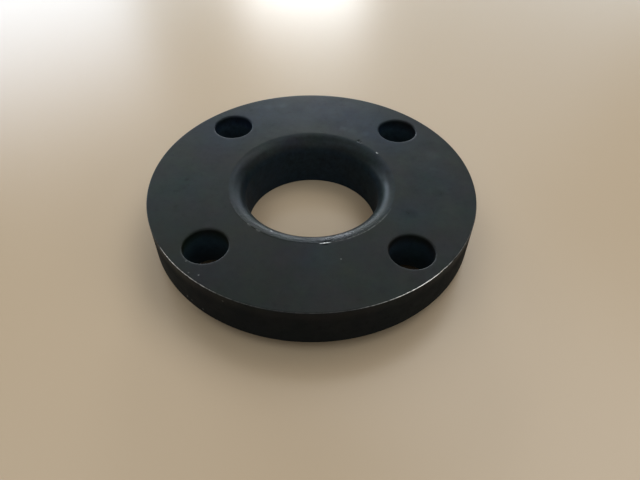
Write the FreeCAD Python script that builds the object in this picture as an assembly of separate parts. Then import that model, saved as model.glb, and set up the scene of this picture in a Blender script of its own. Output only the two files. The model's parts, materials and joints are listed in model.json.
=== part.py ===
# Lap joint flange for two inch pipe, drilled as the 150 class is.
# It is one steel forging, turned all over and drilled: a thick flat ring with a short hub behind it.
# The ring slides loose over a stub end, whose lap bears on the flat face beside the rounded bore corner.
# The origin lies on the bore's axis in the end face of the hub, on which the flange rests.
# +Z runs along the bore, up through the flat face. The bolt holes straddle the X and Y centre lines.

import FreeCAD, Part
import math
import os

# Bore, in millimetres
bore_diameter = 63.0
bore_corner_radius = 8.0
corner_break_deg = 4.0
bore_end_chamfer = 0.2

# Hub
hub_wall = 7.5
hub_projection = 6.0
hub_taper_deg = 7.0
hub_root_radius = 3.0
hub_end_radius = 1.2

# Ring
ring_thickness = 19.5
rim_chamfer = 0.5

# Drilling
bolt_count = 4
bolt_hole_diameter = 19.05
bolt_hole_chamfer = 0.4
hub_to_bolt = 21.35
bolt_to_rim = 15.15

# What follows from the driving dimensions
bore_r = bore_diameter / 2
hub_r = bore_r + hub_wall
bolt_circle_r = hub_r + hub_to_bolt
rim_r = bolt_circle_r + bolt_to_rim
back_z = hub_projection
face_z = hub_projection + ring_thickness
first_bolt_deg = 180 / bolt_count
drill_overrun = 1.0

AXIS = FreeCAD.Vector(0, 0, 1)
CENTRE = FreeCAD.Vector(0, 0, 0)


def at(radius, height):
    """A point of the turned section, which lies in the XZ plane."""
    return FreeCAD.Vector(radius, 0, height)


def corner_arc():
    """The rounded bore corner: tangent to the bore wall, and meeting the face at a slight crease."""
    centre_r = bore_r + bore_corner_radius
    centre_z = face_z - bore_corner_radius * math.cos(math.radians(corner_break_deg))

    def on_arc(tilt_deg):
        tilt = math.radians(tilt_deg)
        return at(
            centre_r - bore_corner_radius * math.sin(tilt),
            centre_z + bore_corner_radius * math.cos(tilt),
        )

    middle_deg = (corner_break_deg + 90) / 2
    return Part.Arc(on_arc(corner_break_deg), on_arc(middle_deg), on_arc(90))


def turned_blank():
    """The forging as it leaves the lathe, before the holes are drilled."""
    hub_end_r = hub_r - hub_projection * math.tan(math.radians(hub_taper_deg))
    corner = corner_arc()
    outline = [
        at(bore_r, bore_end_chamfer),
        at(bore_r + bore_end_chamfer, 0),
        at(hub_end_r, 0),
        at(hub_r, back_z),
        at(rim_r - rim_chamfer, back_z),
        at(rim_r, back_z + rim_chamfer),
        at(rim_r, face_z - rim_chamfer),
        at(rim_r - rim_chamfer, face_z),
        corner.StartPoint,
    ]
    edges = [Part.LineSegment(a, b).toShape() for a, b in zip(outline, outline[1:])]
    edges.append(corner.toShape())
    edges.append(Part.LineSegment(corner.EndPoint, outline[0]).toShape())
    section = Part.Face(Part.Wire(edges))
    blank = section.revolve(CENTRE, AXIS, 360)
    blank = round_ring(blank, hub_r, back_z, min(hub_root_radius, hub_projection / 2))
    return round_ring(blank, hub_end_r, 0, min(hub_end_radius, hub_projection / 4))


def round_ring(solid, radius, height, fillet_radius):
    """Rounds the circular edge of that radius which lies at that height."""
    found = [
        edge
        for edge in solid.Edges
        if isinstance(edge.Curve, Part.Circle)
        and abs(edge.Curve.Radius - radius) < 1e-6
        and abs(edge.Curve.Center.z - height) < 1e-6
    ]
    return solid.makeFillet(fillet_radius, found)


def bolt_hole():
    """What the drill and the deburring cutter take out for one bolt, on the X axis."""
    hole_r = bolt_hole_diameter / 2
    mouth_r = hole_r + bolt_hole_chamfer
    half_section = [
        at(0, back_z - drill_overrun),
        at(mouth_r, back_z - drill_overrun),
        at(mouth_r, back_z),
        at(hole_r, back_z + bolt_hole_chamfer),
        at(hole_r, face_z - bolt_hole_chamfer),
        at(mouth_r, face_z),
        at(mouth_r, face_z + drill_overrun),
        at(0, face_z + drill_overrun),
    ]
    section = Part.Face(Part.makePolygon(half_section + half_section[:1]))
    cutter = section.revolve(CENTRE, AXIS, 360)
    cutter.translate(FreeCAD.Vector(bolt_circle_r, 0, 0))
    return cutter


def flange():
    """The finished flange: the turned blank with its ring of bolt holes."""
    solid = turned_blank()
    for number in range(bolt_count):
        cutter = bolt_hole()
        cutter.rotate(CENTRE, AXIS, first_bolt_deg + number * 360 / bolt_count)
        solid = solid.cut(cutter)
    return solid.Solids[0]


os.makedirs("parts", exist_ok=True)
part = flange()
part.exportStep("parts/flange.step")
print(f"outside diameter {2 * rim_r:.2f}, bolt circle {2 * bolt_circle_r:.2f}, length {face_z:.2f} mm")
print(f"volume {part.Volume / 1000:.1f} cubic centimetres, valid {part.isValid()}")
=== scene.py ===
# %% [markdown]
# # A lap joint flange
#
# This lesson dresses one steel pipe flange. It was forged, turned on a lathe, drilled and given a
# black coating, and it lies on its hub with the lap side up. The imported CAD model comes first: it
# fixes the place and size of everything, so the dressed flange is measured from it.

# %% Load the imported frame
import json
import math

import bmesh
import bpy
from mathutils import Matrix, Vector, noise


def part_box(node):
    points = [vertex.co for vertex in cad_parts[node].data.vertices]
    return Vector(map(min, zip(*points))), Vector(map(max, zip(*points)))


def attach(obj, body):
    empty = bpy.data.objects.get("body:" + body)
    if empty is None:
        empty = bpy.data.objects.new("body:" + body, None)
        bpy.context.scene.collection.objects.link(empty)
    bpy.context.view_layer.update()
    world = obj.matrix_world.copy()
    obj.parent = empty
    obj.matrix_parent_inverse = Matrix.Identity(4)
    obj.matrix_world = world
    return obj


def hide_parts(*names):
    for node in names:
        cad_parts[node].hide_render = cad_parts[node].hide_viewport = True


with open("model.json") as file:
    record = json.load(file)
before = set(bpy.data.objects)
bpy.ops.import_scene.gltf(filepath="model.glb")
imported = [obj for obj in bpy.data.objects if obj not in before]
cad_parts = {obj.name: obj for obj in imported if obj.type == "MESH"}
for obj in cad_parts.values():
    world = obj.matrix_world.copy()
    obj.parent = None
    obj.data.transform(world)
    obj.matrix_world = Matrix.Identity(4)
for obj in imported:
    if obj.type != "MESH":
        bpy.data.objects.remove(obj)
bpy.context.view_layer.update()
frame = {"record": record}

MM = 0.001

# %% [markdown]
# ## Sizes
#
# The record holds the sizes that other parts rely on: the bore, the bolt circle and the bolt holes.
# The box gives the outside diameter and the height. What is left are the sizes of the turned section,
# in metres, which are the ones that the CAD model was turned with. Only the edge breaks differ: the
# model has small plain chamfers on the rim and the bolt holes, and here these edges are rounded, the
# rim by as much, and the upper mouths of the holes wide and soft.

# %% Name the sizes
mounts = {mount["name"]: mount for mount in frame["record"]["mounts"]}
top_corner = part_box("flange")[1]

BORE_R = mounts["bore"]["dims"]["r_mm"] * MM
BOLT_CIRCLE_R = mounts["bolt_holes"]["dims"]["pcd_mm"] / 2 * MM
BOLT_HOLE_R = mounts["bolt_holes"]["dims"]["hole_r_mm"] * MM
BOLT_COUNT = mounts["bolt_holes"]["dims"]["count"]
BACK_Z = mounts["nut_face"]["pos_m"][2]
RIM_R = top_corner.x
FACE_Z = top_corner.z

CORNER_R = 8 * MM
CREASE = math.radians(4)
BORE_CHAMFER = 0.2 * MM
HUB_WALL = 7.5 * MM
HUB_TAPER = math.radians(7)
HUB_ROOT_R = 3 * MM
HUB_FOOT_R = 1.2 * MM
RIM_BREAK = 0.5 * MM
MOUTH_BREAK = 0.9 * MM
LOWER_MOUTH_BREAK = 0.1 * MM

HUB_R = BORE_R + HUB_WALL
HUB_END_R = HUB_R - BACK_Z * math.tan(HUB_TAPER)
CREASE_R = BORE_R + CORNER_R * (1 - math.sin(CREASE))
print(f"across, mm: bore {2 * BORE_R / MM:.1f}, crease {2 * CREASE_R / MM:.1f}, rim {2 * RIM_R / MM:.1f}")

# %% [markdown]
# ## Wires with round corners
#
# A lathe gives every surface but the holes, so most of the flange is one section, turned. The section
# could be typed in as a long outline of points. Here it is a wire in the XZ plane with one vertex at
# each corner, and a bevel of that single vertex rounds it as the tool did.

# %% Helpers for the wire
def chain(bm, points):
    """A wire through the points, each given as (radius, height)."""
    verts = [bm.verts.new((radius, 0, height)) for radius, height in points]
    for a, b in zip(verts, verts[1:]):
        bm.edges.new((a, b))
    return verts


def round_off(bm, vert, radius, segments):
    """Rounds the wire at one vertex. The cut along each leg gives an arc of that radius."""
    legs = [(edge.other_vert(vert).co - vert.co).normalized() for edge in vert.link_edges]
    half_angle = legs[0].angle(legs[1]) / 2
    bmesh.ops.bevel(
        bm, geom=[vert], affect="VERTICES", offset_type="OFFSET", offset=radius / math.tan(half_angle),
        segments=segments, profile=0.5, material=-1,
    )


flange = bmesh.new()
print("an empty mesh for the flange:", len(flange.verts), "vertices")

# %% [markdown]
# ## The bore and the hub in section
#
# The large bore corner is the form that makes this a lap joint flange: the stub end's own bend lies in
# it. A spin of one vertex draws its arc, from the crease on the lap face down to the bore. The lap face
# needs no vertices, because it is flat, yet the wire has a few beside the crease. They become rings
# that keep a dent at the edge where it was struck. Without them it would pull a long crooked facet
# across the face.

# %% Draw the inner section
CORNER_STEPS = 43
FOOT_STEPS = 5
ROOT_STEPS = 8
CREASE_RINGS = (2.2 * MM, 1.5 * MM, 1.0 * MM, 0.6 * MM, 0.3 * MM)


def inner_section(bm):
    """From the crease on the lap face through the bore and round the hub to the back face."""
    rings = chain(bm, [(CREASE_R + step, FACE_Z) for step in CREASE_RINGS] + [(CREASE_R, FACE_Z)])
    centre = (BORE_R + CORNER_R, 0, FACE_Z - CORNER_R * math.cos(CREASE))
    arc = bmesh.ops.spin(
        bm, geom=[rings[-1]], cent=centre, axis=(0, -1, 0), angle=math.pi / 2 - CREASE, steps=CORNER_STEPS
    )
    corner_end = arc["geom_last"][0]
    verts = chain(bm, [
        (BORE_R, BORE_CHAMFER),
        (BORE_R + BORE_CHAMFER, 0),
        (HUB_END_R, 0),
        (HUB_R, BACK_Z),
        (HUB_R + HUB_ROOT_R, BACK_Z),
    ])
    bm.edges.new((corner_end, verts[0]))
    round_off(bm, verts[2], HUB_FOOT_R, FOOT_STEPS)
    round_off(bm, verts[3], HUB_ROOT_R, ROOT_STEPS)


inner_section(flange)
print("inner section:", len(flange.verts), "vertices")

# %% [markdown]
# ## The rim in section
#
# The rim is a plain cylinder between two small roundings. It could share one wire with the inside, but
# the lap face and the back face are left open between the two until the bolt holes are in place. It
# has its own rings beside the roundings, for the dents.

# %% Draw the outer section
RIM_STEPS = 5
RIM_RINGS = (3.0 * MM, 1.8 * MM, 1.0 * MM, 0.65 * MM)


def outer_section(bm):
    """Round the rim, from the lap face to the back face."""
    across = [(RIM_R - step, FACE_Z) for step in RIM_RINGS]
    down = [(RIM_R, FACE_Z - step) for step in reversed(RIM_RINGS)]
    up = [(RIM_R, BACK_Z + step) for step in RIM_RINGS]
    back = [(RIM_R - step, BACK_Z) for step in reversed(RIM_RINGS)]
    upper = chain(bm, across + [(RIM_R, FACE_Z)] + down)
    lower = chain(bm, up + [(RIM_R, BACK_Z)] + back)
    bm.edges.new((upper[-1], lower[0]))
    round_off(bm, upper[len(across)], RIM_BREAK, RIM_STEPS)
    round_off(bm, lower[len(up)], RIM_BREAK, RIM_STEPS)


outer_section(flange)
print("whole section:", len(flange.verts), "vertices")

# %% [markdown]
# ## Turning it
#
# One spin about the bore's axis makes the whole skin, as the lathe did. The spin operator slows down
# as its mesh grows, so a slice of the turn is spun from the wire and then copied round. The doubles
# where two slices meet are merged.

# %% Spin the section round the bore's axis
FULL_TURN = 2 * math.pi
SLICES = 8
STEPS_PER_SLICE = 90
CENTRE = (0, 0, 0)
BORE_AXIS = (0, 0, 1)
TINY = 0.001 * MM


def turn(bm):
    """Spins the wire through one slice of the turn, then copies the slice round."""
    slice_angle = FULL_TURN / SLICES
    wire = bm.verts[:] + bm.edges[:]
    bmesh.ops.spin(bm, geom=wire, cent=CENTRE, axis=BORE_AXIS, angle=slice_angle, steps=STEPS_PER_SLICE)
    first_slice = bm.verts[:] + bm.edges[:] + bm.faces[:]
    bmesh.ops.spin(
        bm, geom=first_slice, cent=CENTRE, axis=BORE_AXIS,
        angle=FULL_TURN - slice_angle, steps=SLICES - 1, use_duplicate=True,
    )
    bmesh.ops.remove_doubles(bm, verts=bm.verts, dist=TINY)


turn(flange)
print("turned skin:", len(flange.faces), "faces")

# %% [markdown]
# ## The bolt holes
#
# A boolean could cut the holes, but it would leave a ragged fan of faces round each one. A drilled
# hole is a turned surface too, so its wall and its two rounded mouths are one more small wire, spun
# round the hole's own axis. The flat faces are left open until the holes are in place.

# %% Line the four holes
STEPS_PER_HOLE = 96
MOUTH_STEPS = 6
LOWER_MOUTH_STEPS = 3


def hole_section(bm):
    """The wall of one hole with its rounded mouths, as a wire beside the bore axis."""
    verts = chain(bm, [
        (BOLT_HOLE_R + 2 * MOUTH_BREAK, FACE_Z),
        (BOLT_HOLE_R, FACE_Z),
        (BOLT_HOLE_R, BACK_Z),
        (BOLT_HOLE_R + 2 * LOWER_MOUTH_BREAK, BACK_Z),
    ])
    round_off(bm, verts[1], MOUTH_BREAK, MOUTH_STEPS)
    round_off(bm, verts[2], LOWER_MOUTH_BREAK, LOWER_MOUTH_STEPS)


def bolt_centre(number):
    """The centre of a bolt hole. The holes straddle the X and Y axes."""
    angle = (number + 0.5) * FULL_TURN / BOLT_COUNT
    return Vector((BOLT_CIRCLE_R * math.cos(angle), BOLT_CIRCLE_R * math.sin(angle), 0))


def line_hole(bm, number):
    """Spins one hole's wire into its lining and moves it to its place."""
    lining = bmesh.new()
    hole_section(lining)
    bmesh.ops.spin(
        lining, geom=lining.verts[:] + lining.edges[:], cent=CENTRE, axis=BORE_AXIS,
        angle=FULL_TURN, steps=STEPS_PER_HOLE, use_merge=True,
    )
    bmesh.ops.translate(lining, verts=lining.verts, vec=bolt_centre(number))
    mesh = bpy.data.meshes.new("lining")
    lining.to_mesh(mesh)
    lining.free()
    bm.from_mesh(mesh)
    bpy.data.meshes.remove(mesh)


for number in range(BOLT_COUNT):
    line_hole(flange, number)
print("with hole linings:", len(flange.faces), "faces")

# %% [markdown]
# ## The flat faces
#
# The lap face and the back face are flat rings with four round windows. A triangle fill closes such
# a region between its border loops and leaves the windows open, and because the region is flat its
# long triangles don't show.

# %% Fill the lap face and the back face
def fill_flat(bm, height):
    """Closes the flat ring at that height between the loops that still lie open there."""
    border = [
        edge for edge in bm.edges
        if edge.is_boundary and all(abs(vert.co.z - height) < TINY for vert in edge.verts)
    ]
    filled = bmesh.ops.triangle_fill(bm, use_beauty=True, edges=border, normal=BORE_AXIS)
    return sum(isinstance(item, bmesh.types.BMFace) for item in filled["geom"])


print("triangles on the lap face:", fill_flat(flange, FACE_Z))
print("triangles on the back face:", fill_flat(flange, BACK_Z))
bmesh.ops.recalc_face_normals(flange, faces=flange.faces)
print("edges without two faces:", sum(not edge.is_manifold for edge in flange.edges))
print("volume, cubic centimetres:", round(flange.calc_volume() / (10 * MM) ** 3, 2))

# %% [markdown]
# ## Sharp and soft edges
#
# Smooth shading blends the light from face to face. That is right for the rounded edges and wrong
# where the tool left a real line, such as the fine crease between the bore corner and the lap face.
# Edges of that kind are marked sharp. A modifier could find them by angle, but the crease is only
# four degrees, so it is picked by its place.

# %% Mark the real lines
SHARP_ANGLE = math.radians(30)


def radius_of(vert):
    """How far a vertex lies from the bore axis."""
    return math.hypot(vert.co.x, vert.co.y)


def on_crease(vert):
    """True on the ring where the bore corner meets the lap face."""
    return abs(vert.co.z - FACE_Z) < TINY and abs(radius_of(vert) - CREASE_R) < 10 * TINY


crease = {vert for vert in flange.verts if on_crease(vert)}
for face in flange.faces:
    face.smooth = True
for edge in flange.edges:
    edge.smooth = edge.calc_face_angle(0) < SHARP_ANGLE and not crease.issuperset(edge.verts)
print("crease:", len(crease), "vertices; sharp edges:", sum(not edge.smooth for edge in flange.edges))

# %% [markdown]
# ## Places round the axis
#
# Wear sits where it happened: at some azimuth, a little outside an edge. On a turned part that is
# easier to say with a distance, an azimuth and a height than with X, Y and Z, so a few helpers go from
# one to the other. Two more say how a mark fades: a hump falls off on both sides of its middle, and an
# eased share starts and ends gently, as a brush does in the editor.

# %% Helpers for places and fades
def around(radius, degrees, height):
    """The point at that distance and azimuth from the bore axis."""
    angle = math.radians(degrees)
    return Vector((radius * math.cos(angle), radius * math.sin(angle), height))


def azimuth_of(vert):
    """The azimuth of a vertex in degrees, from 0 to 360."""
    return math.degrees(math.atan2(vert.co.y, vert.co.x)) % 360


def degrees_apart(one, other):
    """How far two azimuths lie apart, from 0 to 180 degrees."""
    return abs((one - other + 180) % 360 - 180)


def hump(away, reach):
    """1 where away is 0, fading to 0 where it has grown to reach, on either side."""
    return max(0, 1 - (away / reach) ** 2)


def ease(share):
    """Lets a share from 0 to 1 start and end gently."""
    return share * share * (3 - 2 * share)


print("from azimuth 350 to 10:", degrees_apart(350, 10), "degrees")
print("a quarter of the way out of a hump:", hump(0.25, 1), " a quarter, eased:", ease(0.25))

# %% [markdown]
# ## The crease dressed by hand
#
# The tool left the crease as a true circle. Then someone eased it with abrasive cloth: it wanders a
# little all round, and at the front it has crept almost a millimetre out over the lap face. A grab
# brush would do this in the editor. Here the rings beside the crease slide outwards, each by its
# share, so that none overtakes the next. The wandering is read from a noise along a circle: the larger
# the circle, the more often the crease goes in and out on its way round.

# %% Slide the crease outwards
WANDER = 0.10 * MM
WANDER_CIRCLE = 9
DRESSED_AT = 282.0
DRESSED_REACH = 78.0
DRESSED_MOST = 0.9 * MM
DRESSED_INSIDE = 2.0 * MM
DRESSED_OUTSIDE = 3.0 * MM
DRESSED_DEPTH = CORNER_R / 2


def crease_shift(degrees):
    """How far the crease lies outside its turned circle at that azimuth."""
    dressed = DRESSED_MOST * hump(degrees_apart(degrees, DRESSED_AT), DRESSED_REACH)
    return dressed + WANDER * (1 + noise.noise(around(WANDER_CIRCLE, degrees, 0)))


def shift_share(vert):
    """How much of that shift a vertex takes: all of it at the crease, none a little way off."""
    out = radius_of(vert) - CREASE_R
    if vert.co.z < FACE_Z - DRESSED_DEPTH:
        return 0
    if out > 0:
        return max(0, 1 - out / DRESSED_OUTSIDE)
    return ease(max(0, 1 + out / DRESSED_INSIDE))


slid = 0
for vert in flange.verts:
    share = shift_share(vert)
    if share > 0:
        degrees = azimuth_of(vert)
        vert.co += around(share * crease_shift(degrees), degrees, 0)
        slid += 1
print("vertices slid beside the crease:", slid)

# %% [markdown]
# ## Knocks
#
# This flange has been stacked and rolled about, so its two exposed edges carry small dents. Sculpting
# them by hand would be natural in the editor. In code each dent is a place on an edge, a reach and a
# depth, and the vertices near that place give way. A blow on the rim drives it down and inwards.

# %% Dent the rim
DOWN = Vector((0, 0, -1))
RIM_KNOCKS = (
    # azimuth in degrees, reach, depth
    (316.3, 1.6 * MM, 0.30 * MM),
    (322.3, 1.3 * MM, 0.25 * MM),
    (301.5, 1.2 * MM, 0.18 * MM),
    (252.8, 1.0 * MM, 0.15 * MM),
    (236.7, 1.2 * MM, 0.18 * MM),
    (231.6, 1.3 * MM, 0.20 * MM),
    (221.0, 1.1 * MM, 0.16 * MM),
)


def rim_edge(degrees):
    """The middle of the rounded rim edge at that azimuth."""
    return around(RIM_R - RIM_BREAK / 3, degrees, FACE_Z - RIM_BREAK / 3)


def press(bm, spot, reach, push):
    """Moves the skin round a spot by push. The move fades out at the reach."""
    moved = 0
    for vert in bm.verts:
        closeness = 1 - (vert.co - spot).length / reach
        if closeness > 0:
            vert.co += push * ease(closeness)
            moved += 1
    return moved


moved = 0
for degrees, reach, depth in RIM_KNOCKS:
    inwards = (around(-1, degrees, 0) + DOWN).normalized()
    moved += press(flange, rim_edge(degrees), reach, inwards * depth)
print("vertices moved on the rim:", moved)

# %% [markdown]
# ## The gouge and the knocks on the crease
#
# Something hard was dragged along the near side of the crease and left a gouge beside it. It could be
# cut with a knife tool, but a groove that fades at its ends is easier as a row of dents. Each is half
# as deep as the groove, because its neighbours reach over it. The crease has single knocks too.

# %% Dent the crease
CREASE_KNOCKS = (
    # azimuth in degrees, distance outside the crease, reach, depth
    (36.6, 0.0 * MM, 0.7 * MM, 0.30 * MM),
    (55.7, 0.6 * MM, 1.1 * MM, 0.40 * MM),
    (53.5, 0.3 * MM, 0.8 * MM, 0.30 * MM),
    (228.8, 0.1 * MM, 0.8 * MM, 0.15 * MM),
    (236.4, 0.3 * MM, 0.8 * MM, 0.12 * MM),
)
GOUGE_FROM, GOUGE_TO = 275.5, 284.0
GOUGE_STEPS = 14
GOUGE_GROOVES = (
    # distance outside the crease, reach, depth
    (-0.5 * MM, 0.6 * MM, 0.16 * MM),
    (0.7 * MM, 0.5 * MM, 0.07 * MM),
)


def beside_crease(degrees, outside):
    """The point of the lap face at that azimuth and distance outside the crease."""
    return around(CREASE_R + crease_shift(degrees) + outside, degrees, FACE_Z)


moved = 0
for degrees, outside, reach, depth in CREASE_KNOCKS:
    moved += press(flange, beside_crease(degrees, outside), reach, DOWN * depth)
for outside, reach, depth in GOUGE_GROOVES:
    for step in range(GOUGE_STEPS + 1):
        degrees = GOUGE_FROM + (GOUGE_TO - GOUGE_FROM) * step / GOUGE_STEPS
        moved += press(flange, beside_crease(degrees, outside), reach, DOWN * depth / 2)
print("vertices moved on the crease:", moved)

# %% [markdown]
# ## Where the coat is rubbed
#
# Edges that stick out lose their coat first, and only where hands, chains and floors reach them. The
# shader could guess this from the curvature, but then every edge would wear alike. So the worn
# stretches of the rim and of the crease are named one by one, by azimuth. Two that overlap, a short
# strong one and a long faint one, make a stretch that thins out towards its ends.

# %% Name the rubbed stretches
RIM_RUBS = (
    # middle of the stretch, half its length in degrees, strength
    (308.0, 14.5, 1.5),
    (304.0, 22.0, 0.45),
    (222.5, 8.0, 0.88),
    (231.5, 13.0, 0.6),
    (246.0, 16.0, 0.12),
    (203.0, 24.0, 0.08),
    (252.8, 1.0, 0.12),
    (275.0, 45.0, 0.06),
    (333.0, 22.0, 0.22),
)
CREASE_RUBS = (
    # the same for the crease
    (280.0, 4.0, 0.85),
    (228.8, 2.0, 0.2),
    (236.4, 2.0, 0.15),
    (213.0, 16.0, 0.04),
    (36.6, 1.0, 1.2),
    (307.0, 30.0, 0.12),
)


def rubbed(degrees, rubs):
    """How hard an edge is rubbed at that azimuth."""
    return max(most * hump(degrees_apart(degrees, middle), half) for middle, half, most in rubs)


print(f"rim rubbing: {rubbed(308, RIM_RUBS):.2f} at azimuth 308, {rubbed(280, RIM_RUBS):.2f} at 280")

# %% [markdown]
# ## How a rub lies across its edge
#
# A rubbed line has a width. On the rim it sits on the upper half of the rounded edge, where another
# flange would touch it. On the crease it is a hair's breadth to each side. The front of each bolt
# hole's mouth is worn too, though very faintly, by the bolts that were dropped in.

# %% Work out the rubbing of a vertex
RIM_TILT, RIM_TILT_REACH = 46, 26
MOUTH_TILT, MOUTH_TILT_REACH = 30, 30
CREASE_RUB_WIDTH = 0.4 * MM
MOUTH_RUB = 0.035


def across_rim(vert):
    """1 on the middle of the rounded rim edge, 0 on the lap face and on the side."""
    out = radius_of(vert) - (RIM_R - RIM_BREAK)
    up = vert.co.z - (FACE_Z - RIM_BREAK)
    if out < -TINY or up < -TINY:
        return 0
    return hump(math.degrees(math.atan2(up, out)) - RIM_TILT, RIM_TILT_REACH)


def on_mouth(vert):
    """1 on the front of a bolt hole's rounded mouth in the lap face, 0 on its back and beside it."""
    up = vert.co.z - (FACE_Z - MOUTH_BREAK)
    ways = [vert.co.xy - bolt_centre(number).xy for number in range(BOLT_COUNT)]
    from_centre = min(ways, key=lambda way: way.length)
    out = BOLT_HOLE_R + MOUTH_BREAK - from_centre.length
    if out < -TINY or up < -TINY or out > MOUTH_BREAK + TINY:
        return 0
    frontness = max(0, -from_centre.y / from_centre.length)
    return frontness * hump(math.degrees(math.atan2(out, up)) - MOUTH_TILT, MOUTH_TILT_REACH)


def outside_crease(vert):
    """How far a vertex lies outside the crease, along the radius."""
    return radius_of(vert) - CREASE_R - crease_shift(azimuth_of(vert))


def rub(vert):
    """The rubbing of one vertex: full on the edge line, fading across its width."""
    degrees = azimuth_of(vert)
    from_crease = math.hypot(outside_crease(vert), FACE_Z - vert.co.z)
    on_rim = rubbed(degrees, RIM_RUBS) * across_rim(vert)
    on_edge = rubbed(degrees, CREASE_RUBS) * max(0, 1 - from_crease / CREASE_RUB_WIDTH)
    return max(on_rim, on_edge, MOUTH_RUB * on_mouth(vert))


print("hardest rub on the crease:", round(max(rub(vert) for vert in crease), 2))

# %% [markdown]
# ## Painted shade beside the crease
#
# The gouge's two walls and a band along the crease lie in shade, and that shade is painted: near-black
# lines frame the gouge's pale stroke, and a long faint one darkens the band between the crease and the
# corner's highlight. They could be thin modelled grooves, but these are finer than the mesh. Each is a
# named line at its distance outside the crease, and each fades at its ends.

# %% Work out the painted shade on a vertex
# Lines of painted shade: the gouge's two walls, and the dark band beside the corner's highlight.
PAINTED_SHADE_LINES = (
    # middle of the stretch, half its length in degrees, distance outside the crease, strength
    (280.8, 3.2, -0.85 * MM, 1.0),
    (279.9, 2.6, 0.85 * MM, 1.0),
    (308.0, 26.0, -0.90 * MM, 0.4),
)
PAINTED_SHADE_WIDTH = 0.5 * MM
PAINTED_SHADE_DEPTH = 1 * MM


def grime(vert):
    """How much painted shade a vertex takes, in the fine lines that run along the crease."""
    if vert.co.z < FACE_Z - PAINTED_SHADE_DEPTH:
        return 0
    degrees = azimuth_of(vert)
    return max(
        most * hump(outside_crease(vert) - line, PAINTED_SHADE_WIDTH) * hump(degrees_apart(degrees, middle), half)
        for middle, half, line, most in PAINTED_SHADE_LINES
    )


print("dirt lines:", len(PAINTED_SHADE_LINES))

# %% [markdown]
# ## Wear and painted shade kept on the vertices
#
# The shader needs both numbers at every point of the skin. A painted mask would do, but it needs an
# unwrapped surface and a picture. A layer of numbers on the vertices travels with the mesh, and the
# shader reads it by its name. The rings beside the edges are close enough to keep the lines fine.

# %% Store the rubbing and the painted shade
FAINTEST_SEEN = 0.05

rubbed_layer = flange.verts.layers.float.new("rubbed")
# The second layer holds the painted shade along the crease.
painted_shade_layer = flange.verts.layers.float.new("grime")
for vert in flange.verts:
    vert[rubbed_layer] = rub(vert)
    vert[painted_shade_layer] = grime(vert)
print("rubbed vertices:", sum(vert[rubbed_layer] > FAINTEST_SEEN for vert in flange.verts))
print("vertices with grime:", sum(vert[painted_shade_layer] > FAINTEST_SEEN for vert in flange.verts))

# %% [markdown]
# ## From mesh to piece
#
# The bmesh becomes a mesh object at the origin, because its place is already in its vertices. It rides
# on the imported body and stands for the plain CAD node.

# %% Make the piece
mesh = bpy.data.meshes.new("flange_skin")
flange.to_mesh(mesh)
flange.free()
piece = bpy.data.objects.new("flange_skin", mesh)
bpy.context.scene.collection.objects.link(piece)
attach(piece, "root")
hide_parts("flange")
mesh.calc_loop_triangles()
print("flange_skin:", len(mesh.vertices), "vertices,", len(mesh.loop_triangles), "triangles")

# %% [markdown]
# ## Shader arithmetic
#
# A material is easier to read as a formula than as a web of nodes. A Wire wraps the output of a node
# and overloads the arithmetic operators, so `1 - mask` adds the Math node that works it out. A Math
# node would turn a colour grey, so colours and vectors have methods of their own in the next class.

# %% The Wire class
class Wire:
    """A number that varies over a surface. Arithmetic on it adds Math nodes."""

    def __init__(self, finish, socket):
        self.finish = finish
        self.socket = socket

    def calc(self, operation, first, second):
        return self.finish.add("ShaderNodeMath", {"operation": operation}, {0: first, 1: second})

    def __add__(self, other):
        return self.calc("ADD", self, other)

    def __radd__(self, other):
        return self.calc("ADD", other, self)

    def __sub__(self, other):
        return self.calc("SUBTRACT", self, other)

    def __rsub__(self, other):
        return self.calc("SUBTRACT", other, self)

    def __mul__(self, other):
        return self.calc("MULTIPLY", self, other)

    def __rmul__(self, other):
        return self.calc("MULTIPLY", other, self)

    def max(self, other):
        return self.calc("MAXIMUM", self, other)


print("a Wire is ready: +, -, * and max on it add Math nodes")

# %% [markdown]
# ## A material in the making
#
# Every node comes from one method, `add`. It takes the node's type, its settings, which have to be set
# before anything is linked, and what its sockets get. The short methods below it are the few kinds of
# node that this flange needs, under names that say what they are for.

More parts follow.
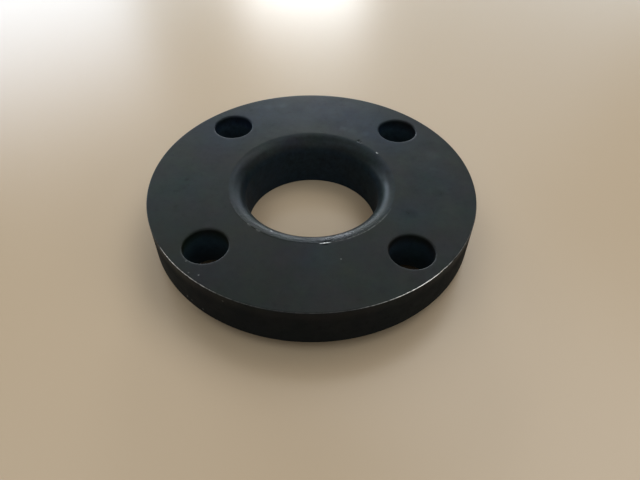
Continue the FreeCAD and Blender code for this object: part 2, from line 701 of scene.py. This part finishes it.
# %% The Finish class
class Finish:
    """A material in the making."""

    def __init__(self, name):
        self.material = bpy.data.materials.new(name)
        self.material.use_nodes = True
        self.tree = self.material.node_tree
        self.shader = self.tree.nodes["Principled BSDF"]

    def add(self, kind, settings=None, sockets=None, output=0):
        """Adds a node with its settings first, then its values and links, and returns one output."""
        node = self.tree.nodes.new(kind)
        for name, value in (settings or {}).items():
            setattr(node, name, value)
        for key, value in (sockets or {}).items():
            self.feed(node.inputs[key], value)
        return Wire(self, node.outputs[output])

    def feed(self, socket, value):
        """Links a Wire to the socket, or sets a plain value on it."""
        if isinstance(value, Wire):
            self.tree.links.new(value.socket, socket)
        else:
            socket.default_value = value

    def coat(self, **sockets):
        """Feeds the material's own shader. Underscores stand for the spaces in socket names."""
        for key, value in sockets.items():
            self.feed(self.shader.inputs[key.replace("_", " ")], value)

    def place(self):
        """The point of the surface, in the piece's own frame."""
        return self.add("ShaderNodeTexCoord", output="Object")

    def layer(self, name):
        """The number that the vertices hold under that name."""
        return self.add("ShaderNodeAttribute", {"attribute_name": name}, output="Fac")

    def cloud(self, place, size, detail=2.0, roughness=0.5, output=0):
        """Soft noise from 0 to 1, with patches about as wide as size. Its colour is three such noises."""
        sockets = {"Vector": place, "Scale": 1 / size, "Detail": detail, "Roughness": roughness}
        return self.add("ShaderNodeTexNoise", {"noise_dimensions": "3D"}, sockets, output)

    def step(self, value, start, end, low=0.0, high=1.0):
        """Rises smoothly from low to high while value goes from start to end."""
        settings = {"interpolation_type": "SMOOTHSTEP", "clamp": True}
        sockets = {"Value": value, "From Min": start, "From Max": end, "To Min": low, "To Max": high}
        return self.add("ShaderNodeMapRange", settings, sockets)

    def near(self, place, spot, inner, outer):
        """1 within inner of a spot, fading to 0 at outer."""
        away = self.vector("DISTANCE", {0: place, 1: spot}, output="Value")
        return self.step(away, inner, outer, 1.0, 0.0)

    def vector(self, operation, sockets, output=0):
        """Works on vectors or colours, channel by channel."""
        return self.add("ShaderNodeVectorMath", {"operation": operation}, sockets, output)

    def mix(self, share, first, second):
        """Goes from one vector to another by a share."""
        sockets = {0: share, 4: first, 5: second}
        return self.add("ShaderNodeMix", {"data_type": "VECTOR"}, sockets, output=1)

    def blend(self, share, first, second):
        """Mixes two colours. A plain colour is given as (red, green, blue)."""
        first = first if isinstance(first, Wire) else (*first, 1)
        second = second if isinstance(second, Wire) else (*second, 1)
        sockets = {0: share, 6: first, 7: second}
        return self.add("ShaderNodeMix", {"data_type": "RGBA"}, sockets, output=2)


coat = Finish("black_coating")
print("started", coat.material.name, "with", len(coat.tree.nodes), "nodes")

# %% [markdown]
# ## The zones of the coat
#
# The same coat looks different where it lies on another cut. The lap face was turned fine, the bore
# corner was polished by hand, and the rim, the bore and the holes were left rougher. The bore and the
# holes also get a lighter, bluer black than the face: that is painted fill light, standing in for light
# that reaches into them, and the corner takes a little of it. Each zone could be a material of its own,
# but then its border would be a hard line. Here a few masks are worked out from the place on the flange,
# so that the zones fade into each other.

# %% Find the zones
FRONT = (-8 * MM, -28 * MM)
CORNER = (CREASE_R - 0.5 * MM, CREASE_R + 0.1 * MM)
SIDE = (RIM_R - 0.3 * MM, RIM_R - 0.1 * MM)
WALL = (FACE_Z - 7 * MM, FACE_Z - 1 * MM)
HOLES = (CREASE_R, CREASE_R + 8 * MM)

place = coat.place()
from_axis = coat.vector("LENGTH", {0: coat.vector("MULTIPLY", {0: place, 1: (1, 1, 0)})}, output="Value")
height = coat.add("ShaderNodeSeparateXYZ", {}, {0: place}, output="Z")
towards_back = coat.add("ShaderNodeSeparateXYZ", {}, {0: place}, output="Y")

in_front = coat.step(towards_back, *FRONT)
in_corner = coat.step(from_axis - in_front * DRESSED_MOST, *CORNER, 1.0, 0.0)
on_side = coat.step(from_axis, *SIDE)
on_wall = coat.step(height, *WALL, 1.0, 0.0)
in_hole = coat.step(from_axis, *HOLES)
print("zones: the front, the bore corner, the rim's side, the walls, and of these the holes")

# %% [markdown]
# ## Marks on the coat
#
# Handling leaves single marks: dark smudges, pale smears where a cloth went over the face, and on the
# corner one dull and one polished spot. Wider patches turn the black teal; those at the back turn it
# blue, a painted reflection of the cool light behind. A brush would paint them. Here each is a soft round
# spot at its place, and a noise that bends the place first gives it a ragged outline. A finer noise is
# the mottle of the bath, and the upper part of another is the stains.

# %% Place the marks
WARP_SIZE = 6.25 * MM
WARP = 4 * MM
SMUDGES = (
    # distance from the axis in mm, azimuth in degrees, reach in mm: dark marks on the lap face
    (46.4, 84.4, 3.0), (49.1, 99.6, 3.0), (58.7, 185.4, 4.0), (55.6, 178.9, 3.5), (60.7, 199.0, 4.0),
    (55.3, 22.8, 3.5), (49.5, 339.0, 4.5), (61.0, 355.8, 4.5), (61.9, 10.1, 3.0), (69.4, 118.8, 3.0),
)
SMEARS = (
    # the same for pale, wiped marks
    (49.0, 56.0, 4.0), (48.5, 63.0, 4.5), (48.0, 70.0, 4.0), (67.8, 104.9, 5.0), (68.3, 110.5, 4.5),
    (66.0, 22.0, 7.0),
)
TEAL_PATCHES = (
    # the same for wide patches where the black turns teal
    (58.0, 182.0, 22.0), (46.0, 277.0, 13.0), (50.0, 336.0, 18.0), (58.0, 4.0, 22.0),
)
PAINTED_BLUE_SHEEN_PATCHES = (
    # the same for wide patches at the back where it turns blue, a painted reflection of the cool light
    # behind
    (59.0, 138.0, 27.0), (64.0, 112.0, 27.0), (62.0, 86.0, 26.0), (60.0, 62.0, 26.0), (56.0, 42.0, 22.0),
)
DULL_SPOT = (36.0, 212.0, 17.0)
POLISHED_SPOT = (38.0, 292.0, 15.0)
STAIN_SIZE = 3 * MM
STAIN_LEVELS = (0.52, 0.72)
MOTTLE_SIZE = 3 * MM


def marks(finish, at, spots):
    """One mask for a handful of soft marks on the lap face."""
    total = 0.0
    for distance, degrees, reach in spots:
        spot = around(distance * MM, degrees, FACE_Z)
        total = finish.near(at, spot, 0.0, reach * MM) + total
    return total


bend = coat.cloud(place, WARP_SIZE, output="Color")
warped = coat.vector("MULTIPLY_ADD", {0: bend, 1: (WARP, WARP, WARP), 2: place})
smudged = marks(coat, warped, SMUDGES)
wiped = marks(coat, warped, SMEARS)
teal = marks(coat, warped, TEAL_PATCHES)
# Painted reflection: blue patches at the back stand in for the cool sheen of the light behind.
painted_blue_sheen = marks(coat, warped, PAINTED_BLUE_SHEEN_PATCHES)
dull = marks(coat, warped, [DULL_SPOT])
polished = marks(coat, warped, [POLISHED_SPOT])
stains = coat.step(coat.cloud(warped, STAIN_SIZE, detail=4.0, roughness=0.7), *STAIN_LEVELS)
mottle = coat.cloud(place, MOTTLE_SIZE, detail=5.0, roughness=0.75)
print("marks on the lap face:", len(SMUDGES), "smudges,", len(SMEARS), "wiped")

# %% [markdown]
# ## The black of the coat
#
# The coat is a black oxide under a little oil, and the zones get different blacks: the lighter, bluer
# black of the bore and the holes is painted fill light, and the rim's side is a little darker. Its faint
# tint could be painted on. Here the three channels of one slow noise multiply the three channels of the
# black, so it wanders from blue to green and brown, and the wide patches turn it teal or blue; the blue
# at the back is a painted reflection of the cool light behind. On the walls and in the blue patches it
# drifts less.

# %% Mix the colour
FACE_BLACK = (0.0114, 0.0134, 0.0106)
# The bore's and the holes' blacks are lighter and bluer than the face's: painted fill light.
BORE_BLACK_WITH_PAINTED_FILL = (0.013, 0.023, 0.031)
HOLE_BLACK_WITH_PAINTED_FILL = (0.021, 0.036, 0.046)
SIDE_BLACK = (0.0075, 0.0098, 0.0108)
TEAL_SHARE = (0.68, 1.12, 1.35)
# How far the painted blue sheen at the back tints the black.
PAINTED_BLUE_SHEEN_TONE = (0.60, 1.00, 1.90)
UNCHANGED = (1, 1, 1)
CORNER_PAINTED_FILL, CORNER_PAINTED_FILL_LESS_IN_FRONT = 0.35, 0.25
DRIFT_SIZE = 20 * MM
DRIFT_SWING = 1.3
CALM_IN_PAINTED_SHEEN, CALM_ON_WALL = 0.5, 0.7

# The share of the walls' black with its painted fill light; the corner takes some of it, less at the
# front.
painted_fill_share = on_wall.max(in_corner * (CORNER_PAINTED_FILL - in_front * CORNER_PAINTED_FILL_LESS_IN_FRONT))
black = coat.blend(painted_fill_share, FACE_BLACK, coat.blend(in_hole, BORE_BLACK_WITH_PAINTED_FILL, HOLE_BLACK_WITH_PAINTED_FILL))
black = coat.blend(on_side, black, SIDE_BLACK)

channels = coat.cloud(place, DRIFT_SIZE, detail=5.0, roughness=0.64, output="Color")
lowest = 1 - DRIFT_SWING / 2
drift = coat.vector("MULTIPLY_ADD", {0: channels, 1: (DRIFT_SWING,) * 3, 2: (lowest,) * 3})
drift = coat.mix((painted_blue_sheen * CALM_IN_PAINTED_SHEEN).max(on_wall * CALM_ON_WALL), drift, UNCHANGED)
tint = coat.vector("MULTIPLY", {0: black, 1: drift})
# Teal patches tint the black, and the blue ones paint the cool sheen of the light behind.
for patch, tone in ((teal, TEAL_SHARE), (painted_blue_sheen, PAINTED_BLUE_SHEEN_TONE)):
    toned = coat.vector("MULTIPLY", {0: tint, 1: tone})
    tint = coat.mix(patch * (1 - on_wall), tint, toned)
print("the black drifts between", round(lowest, 2), "and", round(lowest + DRIFT_SWING, 2), "of itself")

# %% [markdown]
# ## Light and dark in the black
#
# The mottle makes the coat lighter here and darker there, less so at the front, which is wiped more
# often. Stains darken it, most of all inside a smudge, and a smear is a thin pale film. All of these
# are one factor on the colour, so that they can be balanced against each other in two lines.

# %% Shade the colour
MOTTLE_SHADE, MOTTLE_SHADE_LESS_IN_FRONT = 1.8, 0.8
STAIN_SHADE, SMUDGED_STAIN_SHADE = 0.15, 0.5
SMEAR_SHADE = 0.8


def swing(cloud, width):
    """Turns a cloud from 0 to 1 into a number that swings about 0, over that width in all."""
    return (cloud - 0.5) * width


shade = 1.0 + swing(mottle, MOTTLE_SHADE - in_front * MOTTLE_SHADE_LESS_IN_FRONT)
shade = shade - stains * (STAIN_SHADE + smudged * SMUDGED_STAIN_SHADE) + wiped * SMEAR_SHADE
tint = coat.vector("SCALE", {0: tint, "Scale": shade})
print("colour ready:", len(coat.tree.nodes), "nodes")

# %% [markdown]
# ## The sheen of the coat
#
# The look of satin black comes from broad soft reflections, so the roughness matters more than the
# colour. It drifts in clouds a finger wide, where the bath ran off or the flange was wiped, and the
# mottle and the marks change it too. A flat black with one roughness would look like plastic. The
# walls are rougher than the face, and the hand-polished corner is smoother.

# %% Set the roughness
COAT_ROUGHNESS = 0.47
CORNER_POLISH, DULL_SPOT_LESS, POLISHED_SPOT_MORE = 0.11, 0.14, 0.13
WALL_ROUGHER, SIDE_ROUGHER = 0.25, 0.05
CLOUD_SIZE = 11 * MM
CLOUD_SWING = 0.44
MOTTLE_SWING, MOTTLE_SWING_LESS_IN_FRONT = 0.24, 0.10
STAIN_ROUGHER, SMUDGED_STAIN_ROUGHER = 0.07, 0.3
SMUDGE_ROUGHER, SMEAR_SMOOTHER = 0.08, 0.15

clouds = coat.cloud(place, CLOUD_SIZE, detail=5.0, roughness=0.66)
polish = CORNER_POLISH - dull * DULL_SPOT_LESS + polished * POLISHED_SPOT_MORE
roughness = COAT_ROUGHNESS - in_corner * polish + on_wall * WALL_ROUGHER + on_side * SIDE_ROUGHER
roughness = roughness + swing(clouds, CLOUD_SWING)
roughness = roughness + swing(mottle, MOTTLE_SWING - in_front * MOTTLE_SWING_LESS_IN_FRONT)
roughness = roughness + stains * (STAIN_ROUGHER + smudged * SMUDGED_STAIN_ROUGHER)
roughness = roughness + smudged * SMUDGE_ROUGHER - wiped * SMEAR_SMOOTHER
print(f"roughness about {COAT_ROUGHNESS:.2f}, and {COAT_ROUGHNESS - CORNER_POLISH:.2f} on the corner")

# %% [markdown]
# ## Marks of the tool and the cloth
#
# A lathe leaves rings finer than the eye can count. On the bore corner the cloth has worn them into
# short wavy dashes that run around the axis and break up the highlight. Modelled dashes would take a
# million faces, so they are a bump. Their noise has a fourth dimension, which gets the distance from
# the axis, four times enlarged: that way it changes fast across the corner and slowly along it.

# %% Bump the corner
RIPPLE_SIZE = 1.8 * MM
ACROSS_FASTER = 4.0
RIPPLES, RIPPLES_MORE_IN_FRONT = 0.3, 2.2
DASHES_IN_FRONT = 4.0
GRAIN_SIZE = 0.45 * MM
GRAIN = 0.10
BUMP_DEPTH = 0.04 * MM

grain = coat.cloud(place, GRAIN_SIZE, detail=1.0)
ripples = coat.cloud(place, RIPPLE_SIZE, detail=4.0, roughness=0.7)
dashes = coat.add("ShaderNodeTexNoise", {"noise_dimensions": "4D"}, {
    "Vector": place, "W": from_axis * ACROSS_FASTER, "Scale": 1 / RIPPLE_SIZE,
    "Detail": 3.0, "Roughness": 0.6,
})
waves = ripples * (RIPPLES + in_front * RIPPLES_MORE_IN_FRONT) + dashes * in_front * DASHES_IN_FRONT
relief = grain * GRAIN + waves * in_corner
bump = coat.add("ShaderNodeBump", {}, {"Height": relief, "Strength": 1.0, "Distance": BUMP_DEPTH})
print(f"ripples {RIPPLE_SIZE / MM:.1f} mm wide on the corner, grain {GRAIN_SIZE / MM:.2f} mm all over")

# %% [markdown]
# ## Bare steel
#
# Where the coat is rubbed through, bright steel shows as a thin broken line. The rubbing on the
# vertices says how far the edge is worn, and a fine noise makes that more here and less there, as a
# worn edge breaks into beads before it becomes a line. A few specks on the lap face, the corner and the
# side are single scratches, and the dull spot on the corner is scuffed along its dashes.

# %% Wear the coat through
BEAD_SIZE = 1.4 * MM
BEAD_LEVELS, BEAD_STRENGTHS = (0.36, 0.60), (0.5, 1.3)
SCUFF_LEVELS, SCUFF_STRENGTH = (0.54, 0.70), 0.05
SPECK_CORE = 0.3
SPECKS = (
    # distance from the axis in mm, azimuth in degrees, height in mm, reach in mm, strength
    (72.3, 234.0, 25.5, 0.5, 0.15), (74.0, 230.9, 25.5, 0.5, 0.08), (49.9, 285.6, 25.5, 0.5, 0.13),
    (70.9, 226.4, 25.5, 0.5, 0.10), (75.5, 228.6, 9.5, 0.7, 0.15), (75.5, 230.8, 9.3, 0.6, 0.12),
    (75.5, 235.7, 8.5, 0.6, 0.12), (75.5, 241.3, 6.5, 0.6, 0.12), (75.5, 245.0, 22.3, 0.6, 0.10),
    (37.5, 209.0, 24.6, 0.5, 0.25), (36.5, 243.4, 24.6, 0.8, 0.3),
)

beads = coat.step(coat.cloud(place, BEAD_SIZE, detail=3.0, roughness=0.6), *BEAD_LEVELS, *BEAD_STRENGTHS)
scuffs = coat.step(dashes, *SCUFF_LEVELS) * dull * in_corner
bare = (coat.layer("rubbed") * beads).max(scuffs * SCUFF_STRENGTH)
for distance, degrees, level, reach, strength in SPECKS:
    spot = around(distance * MM, degrees, level * MM)
    bare = bare.max(coat.near(place, spot, SPECK_CORE * reach * MM, reach * MM) * strength)
print("single scratches:", len(SPECKS))

# %% [markdown]
# ## Dirt, painted shade, and the shader
#
# Dirt and painted shade do the opposite of bare steel: real dirt in the smudges, and painted shade in
# the fine lines along the crease, take away both the colour and the gloss. A black metal does just that,
# because a metal has no gloss of its own beyond its colour. So steel, dirt and painted shade share the
# Metallic socket, and the colour tells them apart. Each mask that changes over the surface feeds one
# socket of the shader, and what is the same all over is set.

# %% Feed the shader
STEEL = (0.86, 0.84, 0.81)
STEEL_SMOOTHER = 0.12
# A near-black for the real dirt in the smudges and for the painted shade along the crease.
DIRT_AND_SHADE_BLACK = (0.002, 0.002, 0.002)
SMUDGE_DIRT, STAINED_SMUDGE_DIRT = 0.30, 0.4

# The vertex layer is painted shade along the crease and in the gouge; the smudges add real dirt.
dirt_and_painted_shade = coat.layer("grime").max(smudged * (SMUDGE_DIRT + stains * STAINED_SMUDGE_DIRT))
coat.coat(
    Base_Color=coat.blend(dirt_and_painted_shade, coat.blend(bare, tint, STEEL), DIRT_AND_SHADE_BLACK),
    Metallic=bare.max(dirt_and_painted_shade),
    Roughness=roughness - bare * STEEL_SMOOTHER,
    Normal=bump,
    Specular_IOR_Level=0.22,
)
mesh.materials.append(coat.material)
print("black_coating:", len(coat.tree.nodes), "nodes")

# %% [markdown]
# ## The floor
#
# The flange lies on a plain pale surface with a slight sheen. Its warm tone matters, because the dark
# coat mirrors it in the rim and in the bore. A curved backdrop would hide the end of the surface, but
# only from one side. A wide plane looks alike from all sides.

# %% Lay the floor
FLOOR_HALF = 4.0
FLOOR_TONE = (0.505, 0.385, 0.265, 1)
FLOOR_ROUGHNESS = 0.30

floor_bm = bmesh.new()
bmesh.ops.create_grid(floor_bm, x_segments=1, y_segments=1, size=FLOOR_HALF)
floor_mesh = bpy.data.meshes.new("floor")
floor_bm.to_mesh(floor_mesh)
floor_bm.free()
floor = bpy.data.objects.new("floor", floor_mesh)
bpy.context.scene.collection.objects.link(floor)

pale = Finish("pale_floor")
pale.coat(Base_Color=FLOOR_TONE, Roughness=FLOOR_ROUGHNESS)
floor_mesh.materials.append(pale.material)
print("floor:", 2 * FLOOR_HALF, "m square")

# %% [markdown]
# ## Studio light
#
# A black satin ring shows the lights and little else. Bright boxes stand low behind it, and the bore
# corner draws them out into streaks. Wide ones higher up give the lap face its even sheen, two at the
# sides catch the rim's edge, and one at the camera's back keeps the near side from going black. A
# picture of a room could light the flange too, but boxes can be moved and dimmed one by one until each
# streak sits where it should. All of them are cool, like daylight.

# %% Hang the softboxes
AIM = Vector((0, 0, 15 * MM))
SKYLIGHT = (0.60, 0.80, 1.0)
DAYLIGHT = (0.70, 0.86, 1.0)
MILKY_DAYLIGHT = (0.77, 0.86, 1.0)
PALE_DAYLIGHT = (0.88, 0.94, 1.0)
SOFTBOXES = (
    # name, azimuth, elevation, distance, width, height, radiance, tone: degrees and metres
    ("far_left_low", -62, 10, 2.6, 1.5, 0.7, 2.9, DAYLIGHT),
    ("back_left_low", -27, 9, 2.6, 1.5, 0.7, 2.9, DAYLIGHT),
    ("back_low", -3, 12, 2.6, 0.6, 0.6, 11.6, PALE_DAYLIGHT),
    ("back_low_beside", 10, 6, 2.6, 0.45, 0.4, 5.0, DAYLIGHT),
    ("back_right_low", 28, 8, 2.6, 1.2, 0.7, 1.9, DAYLIGHT),
    ("right", 106, 24, 2.6, 1.2, 0.8, 2.0, PALE_DAYLIGHT),
    ("left", -98, 17, 2.6, 1.0, 0.7, 0.9, PALE_DAYLIGHT),
    ("mid_left", -33, 20, 2.6, 1.0, 0.6, 4.4, MILKY_DAYLIGHT),
    ("mid_right", 14, 26, 2.6, 1.5, 0.7, 0.7, SKYLIGHT),
    ("high_back", 0, 42, 2.6, 1.8, 0.6, 1.0, DAYLIGHT),
    ("over_left", -48, 60, 2.4, 1.9, 1.2, 0.65, PALE_DAYLIGHT),
    ("over_right", 44, 58, 2.4, 1.9, 1.2, 2.1, PALE_DAYLIGHT),
    ("over_front_left", -125, 60, 2.4, 1.9, 1.2, 1.1, DAYLIGHT),
    ("over_front_right", 125, 60, 2.4, 1.9, 1.2, 1.0, DAYLIGHT),
    ("front", 180, 35, 2.6, 1.8, 0.8, 1.7, DAYLIGHT),
)


def softbox(name, azimuth, elevation, distance, width, height, radiance, tone):
    """A soft light. Azimuth is counted from +Y towards +X, and the light faces the flange."""
    turn_angle, rise = math.radians(azimuth), math.radians(elevation)
    level = math.cos(rise)
    direction = Vector((math.sin(turn_angle) * level, math.cos(turn_angle) * level, math.sin(rise)))
    light = bpy.data.lights.new(name, "AREA")
    light.shape = "RECTANGLE"
    light.size = width
    light.size_y = height
    light.energy = math.pi * width * height * radiance
    light.color = tone
    lamp = bpy.data.objects.new(name, light)
    facing = direction.to_track_quat("Z", "Y").to_matrix().to_4x4()
    lamp.matrix_world = Matrix.Translation(AIM + direction * distance) @ facing
    lamp.visible_camera = False
    bpy.context.scene.collection.objects.link(lamp)
    print(f"{name}: {light.energy:.1f} W")


for settings in SOFTBOXES:
    softbox(*settings)

# %% [markdown]
# ## Light from all round
#
# With nothing but boxes, the coat would be pure black between their reflections. A faint even light
# from all round fills that in. It is warm where the boxes are cool, as light is that has come off
# floors and furniture. The view transform is the plain one, with the contrast of a camera's picture.

# %% Light the surroundings
LAMPLIGHT = (1.0, 0.86, 0.66)
SURROUNDINGS = 0.24

world = bpy.data.worlds.new("studio")
world.use_nodes = True
background = world.node_tree.nodes["Background"]
background.inputs["Color"].default_value = (*LAMPLIGHT, 1)
background.inputs["Strength"].default_value = SURROUNDINGS
bpy.context.scene.world = world
bpy.context.scene.view_settings.view_transform = "Standard"
bpy.context.scene.view_settings.look = "Medium High Contrast"
print("light from all round:", SURROUNDINGS)

# %% [markdown]
# ## The camera
#
# The camera stands where the photograph was taken from. Its place comes from a fit to the edges of the
# flange: it looks down at 46 degrees from a forearm's length away, through a wide lens, and it is held
# a little off level.

# %% Set up the camera
CAMERA_PLACE = Vector((6.940 * MM, -192.791 * MM, 187.312 * MM))
CAMERA_AIM = Vector((4.264 * MM, -13.279 * MM, 0))
CAMERA_ROLL = math.radians(0.8825)
LENS_MM = 30.146
SENSOR_MM = 36
NEAREST = 10 * MM

camera_data = bpy.data.cameras.new("view")
camera_data.sensor_width = SENSOR_MM
camera_data.lens = LENS_MM
camera_data.clip_start = NEAREST
camera = bpy.data.objects.new("view", camera_data)
looking = (CAMERA_AIM - CAMERA_PLACE).to_track_quat("-Z", "Y").to_matrix()
rolled = looking @ Matrix.Rotation(CAMERA_ROLL, 3, "Z")
camera.matrix_world = Matrix.Translation(CAMERA_PLACE) @ rolled.to_4x4()
bpy.context.scene.collection.objects.link(camera)
bpy.context.scene.camera = camera
print("camera to aim, mm:", round((CAMERA_AIM - CAMERA_PLACE).length / MM, 1))
